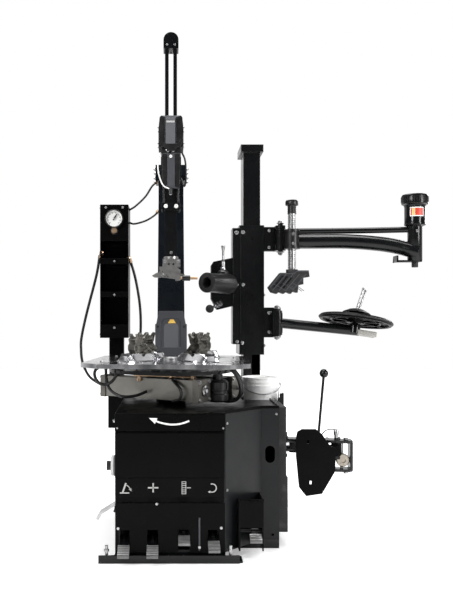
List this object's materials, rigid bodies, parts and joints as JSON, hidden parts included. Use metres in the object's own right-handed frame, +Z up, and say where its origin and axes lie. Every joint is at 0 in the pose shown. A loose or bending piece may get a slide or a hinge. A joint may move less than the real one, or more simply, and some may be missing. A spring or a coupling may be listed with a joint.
{
  "type": "tire changer machine",
  "caption": "Tilt-back wheel tyre changer: pedal cabinet, spinning jaw turntable, tilting column with mount bar, bead breaker, inflator and assist arms.",
  "frame": {"origin": "on the floor, under the spin axis of the turntable", "axes": "+X to the machine's right as the operator sees it, +Y to the back, +Z up"},
  "size_m": [1.589, 1.0942, 2.105],
  "materials": {
    "cabinet_paint": "satin textured paint",
    "arm_paint": "gloss black paint",
    "column_paint": "near-black blue paint",
    "turntable_steel": "radially brushed",
    "jaw_steel": "warm grey casting",
    "machined_steel": "turned",
    "chrome_parts": "bright",
    "cylinder_aluminium": "extruded, satin",
    "black_rubber": "matte",
    "black_plastic": "fine grain",
    "grey_plastic": "fine grain",
    "white_plastic": "translucent white",
    "motor_grey": "grey enamel",
    "gauge_face": "white dial",
    "brass_parts": "worn"
  },
  "bodies": {
    "stand": {"base_frame": "arm_paint", "cabinet_shell": "cabinet_paint", "front_cover": "cabinet_paint", "pedal_panel": "cabinet_paint", "top_deck": "cabinet_paint", "chassis_fasteners": "machined_steel", "pedal_guard": "cabinet_paint", "wheel_rest_pad": "black_rubber", "drive_motor": "motor_grey", "gearbox_housing": "motor_grey", "drive_belt": "black_rubber", "breaker_cylinder": "motor_grey", "control_units": "grey_plastic", "tilt_bracket": "cabinet_paint", "tilt_cylinder": "motor_grey", "inflator_box": "cabinet_paint", "pressure_gauge": "gauge_face", "air_hoses": "black_rubber", "assist_post": "arm_paint", "lube_bucket": "white_plastic"},
    "switch_knob": {"power_switch": "black_plastic"},
    "tilt_pedal": {"pedal_tilt": "machined_steel"},
    "clamp_pedal": {"pedal_clamp": "machined_steel"},
    "breaker_pedal": {"pedal_breaker": "machined_steel"},
    "spin_pedal": {"pedal_spin": "machined_steel"},
    "guarded_pedal": {"side_pedal": "machined_steel"},
    "filler_pedal": {"inflation_pedal": "machined_steel"},
    "motor_rotor": {"motor_pulley": "motor_grey"},
    "worm": {"worm_shaft": "machined_steel"},
    "turntable": {"turntable_plate": "turntable_steel", "turntable_shaft": "machined_steel", "clamp_cylinders": "cylinder_aluminium"},
    "jaw_slide_1": {"jaw_1": "jaw_steel"},
    "jaw_slide_2": {"jaw_2": "jaw_steel"},
    "jaw_slide_3": {"jaw_3": "jaw_steel"},
    "jaw_slide_4": {"jaw_4": "jaw_steel"},
    "cam_plate": {"jaw_cam_plate": "motor_grey"},
    "front_rod": {"clamp_rod_front": "chrome_parts"},
    "rear_rod": {"clamp_rod_rear": "chrome_parts"},
    "column": {"column_tower": "column_paint", "column_cover": "grey_plastic"},
    "tilt_piston": {"tilt_rod": "chrome_parts"},
    "arm": {"horizontal_arm": "arm_paint", "slide_head": "black_plastic"},
    "bar": {"hex_bar": "arm_paint", "mount_head": "machined_steel"},
    "roller": {"mount_roller": "black_plastic"},
    "needle": {"gauge_needle": "black_plastic"},
    "button": {"deflate_button": "brass_parts"},
    "carriage": {"assist_carriage": "arm_paint", "guide_sleeve": "arm_paint"},
    "sleeve_lever": {"clamp_lever": "chrome_parts"},
    "upper_arm": {"press_arm": "arm_paint"},
    "press_slide": {"press_rod": "chrome_parts"},
    "press_shoe": {"press_foot": "black_plastic"},
    "disc_arm": {"lower_arm": "arm_paint"},
    "disc": {"bead_disc": "black_plastic"},
    "breaker": {"breaker_arm": "arm_paint"},
    "paddle": {"breaker_paddle": "arm_paint"},
    "breaker_piston": {"breaker_rod": "chrome_parts"}
  },
  "joints": [
    {"name": "switch_turn", "type": "hinge", "parent": "stand", "child": "switch_knob", "pos_m": [-0.225, -0.29, 0.34], "axis": [-1, 0, 0], "range_deg": [0, 90]},
    {"name": "tilt_pedal_press", "type": "hinge", "parent": "stand", "child": "tilt_pedal", "pos_m": [-0.172, -0.23, 0.12], "axis": [1, 0, 0], "range_deg": [-12, 4]},
    {"name": "clamp_pedal_press", "type": "hinge", "parent": "stand", "child": "clamp_pedal", "pos_m": [-0.067, -0.23, 0.12], "axis": [1, 0, 0], "range_deg": [-12, 4]},
    {"name": "breaker_pedal_press", "type": "hinge", "parent": "stand", "child": "breaker_pedal", "pos_m": [0.047, -0.23, 0.12], "axis": [1, 0, 0], "range_deg": [0, 14]},
    {"name": "spin_pedal_press", "type": "hinge", "parent": "stand", "child": "spin_pedal", "pos_m": [0.155, -0.23, 0.12], "axis": [1, 0, 0], "range_deg": [-8, 6]},
    {"name": "side_pedal_press", "type": "hinge", "parent": "stand", "child": "guarded_pedal", "pos_m": [0.312, -0.305, 0.1], "axis": [1, 0, 0], "range_deg": [-4, 12]},
    {"name": "filler_pedal_press", "type": "hinge", "parent": "stand", "child": "filler_pedal", "pos_m": [-0.17, -0.245, 0.192], "axis": [0, -1, 0], "range_deg": [0, 10]},
    {"name": "turntable_spin", "type": "hinge", "parent": "stand", "child": "turntable", "pos_m": [0, 0, 0.7], "axis": [0, 0, 1], "continuous": true},
    {"name": "worm_spin", "type": "hinge", "parent": "stand", "child": "worm", "pos_m": [0, 0.09, 0.44], "axis": [1, 0, 0], "continuous": true},
    {"name": "motor_spin", "type": "hinge", "parent": "stand", "child": "motor_rotor", "pos_m": [0.1, 0.09, 0.15], "axis": [1, 0, 0], "continuous": true},
    {"name": "jaw_1_slide", "type": "slide", "parent": "turntable", "child": "jaw_slide_1", "axis": [0.7716, 0.6361, 0], "range_m": [-0.03, 0.09]},
    {"name": "jaw_2_slide", "type": "slide", "parent": "turntable", "child": "jaw_slide_2", "axis": [-0.6361, 0.7716, 0], "range_m": [-0.03, 0.09]},
    {"name": "jaw_3_slide", "type": "slide", "parent": "turntable", "child": "jaw_slide_3", "axis": [-0.7716, -0.6361, 0], "range_m": [-0.03, 0.09]},
    {"name": "jaw_4_slide", "type": "slide", "parent": "turntable", "child": "jaw_slide_4", "axis": [0.6361, -0.7716, 0], "range_m": [-0.03, 0.09]},
    {"name": "cam_turn", "type": "hinge", "parent": "turntable", "child": "cam_plate", "pos_m": [0, 0, 0.68], "axis": [0, 0, 1], "range_deg": [-25.1, 75.1]},
    {"name": "front_rod_slide", "type": "slide", "parent": "turntable", "child": "front_rod", "axis": [-0.8415, 0.5402, 0], "range_m": [-0.0091, 0.0271]},
    {"name": "rear_rod_slide", "type": "slide", "parent": "turntable", "child": "rear_rod", "axis": [0.8415, -0.5402, 0], "range_m": [-0.0091, 0.0271]},
    {"name": "column_tilt", "type": "hinge", "parent": "stand", "child": "column", "pos_m": [0, 0.5, 0.5], "axis": [-1, 0, 0], "range_deg": [0, 24]},
    {"name": "tilt_rod_slide", "type": "slide", "parent": "stand", "child": "tilt_piston", "axis": [0, 0, 1], "range_m": [-0.041, 0.001]},
    {"name": "arm_slide", "type": "slide", "parent": "column", "child": "arm", "axis": [0, 1, 0], "range_m": [-0.03, 0.16]},
    {"name": "bar_slide", "type": "slide", "parent": "arm", "child": "bar", "axis": [0, 0, 1], "range_m": [-0.22, 0.08]},
    {"name": "roller_spin", "type": "hinge", "parent": "bar", "child": "roller", "pos_m": [0.064, 0.052, 1.06], "axis": [1, 0, 0], "continuous": true},
    {"name": "needle_turn", "type": "hinge", "parent": "stand", "child": "needle", "pos_m": [-0.261, 0.315, 1.347], "axis": [0, 1, 0], "range_deg": [-167, 103]},
    {"name": "button_press", "type": "slide", "parent": "stand", "child": "button", "axis": [0, 1, 0], "range_m": [0, 0.006]},
    {"name": "carriage_lift", "type": "slide", "parent": "stand", "child": "carriage", "axis": [0, 0, 1], "range_m": [-0.05, 0.3]},
    {"name": "sleeve_lever_turn", "type": "hinge", "parent": "carriage", "child": "sleeve_lever", "pos_m": [0.242, 0.354, 1.13], "axis": [0, 0, 1], "range_deg": [-60, 60]},
    {"name": "press_arm_swing", "type": "hinge", "parent": "carriage", "child": "upper_arm", "pos_m": [0.506, 0.34, 1.26], "axis": [0, 0, 1], "range_deg": [-108, 0]},
    {"name": "press_rod_slide", "type": "slide", "parent": "upper_arm", "child": "press_slide", "axis": [0, 0, 1], "range_m": [-0.06, 0.06]},
    {"name": "press_foot_turn", "type": "hinge", "parent": "press_slide", "child": "press_shoe", "pos_m": [0.552, 0.3, 1.09], "axis": [0, 0, 1], "range_deg": [-0.1, 108.1]},
    {"name": "lower_arm_swing", "type": "hinge", "parent": "carriage", "child": "disc_arm", "pos_m": [0.49, 0.34, 0.868], "axis": [0, 0, 1], "range_deg": [-120, 0]},
    {"name": "disc_spin", "type": "hinge", "parent": "disc_arm", "child": "disc", "pos_m": [0.853, 0.34, 0.88], "axis": [0.1553, 0.1219, 0.9803], "continuous": true},
    {"name": "breaker_swing", "type": "hinge", "parent": "stand", "child": "breaker", "pos_m": [0.5, 0.29, 0.316], "axis": [0, 0, 1], "range_deg": [-32, 20]},
    {"name": "paddle_pivot", "type": "hinge", "parent": "breaker", "child": "paddle", "pos_m": [0.73258, 0.2058, 0.316], "axis": [0, 0, 1], "range_deg": [-10, 10]},
    {"name": "breaker_rod_slide", "type": "slide", "parent": "stand", "child": "breaker_piston", "axis": [1, 0, 0], "range_m": [-0.043, 0.027]}
  ],
  "couplings": [
    {"joint": "worm_spin", "follows": "turntable_spin", "ratio": 40},
    {"joint": "motor_spin", "follows": "turntable_spin", "ratio": 106.67},
    {"joint": "jaw_2_slide", "follows": "jaw_1_slide", "ratio": 1},
    {"joint": "jaw_3_slide", "follows": "jaw_1_slide", "ratio": 1},
    {"joint": "jaw_4_slide", "follows": "jaw_1_slide", "ratio": 1},
    {"joint": "cam_turn", "follows": "jaw_1_slide", "rad_per_m": 14.544},
    {"joint": "front_rod_slide", "follows": "jaw_1_slide", "ratio": 0.3},
    {"joint": "rear_rod_slide", "follows": "jaw_1_slide", "ratio": 0.3},
    {"joint": "tilt_rod_slide", "follows": "column_tilt", "m_per_rad": -0.0971},
    {"joint": "press_foot_turn", "follows": "press_arm_swing", "ratio": -1},
    {"joint": "breaker_rod_slide", "follows": "breaker_swing", "m_per_rad": 0.0765}
  ]
}
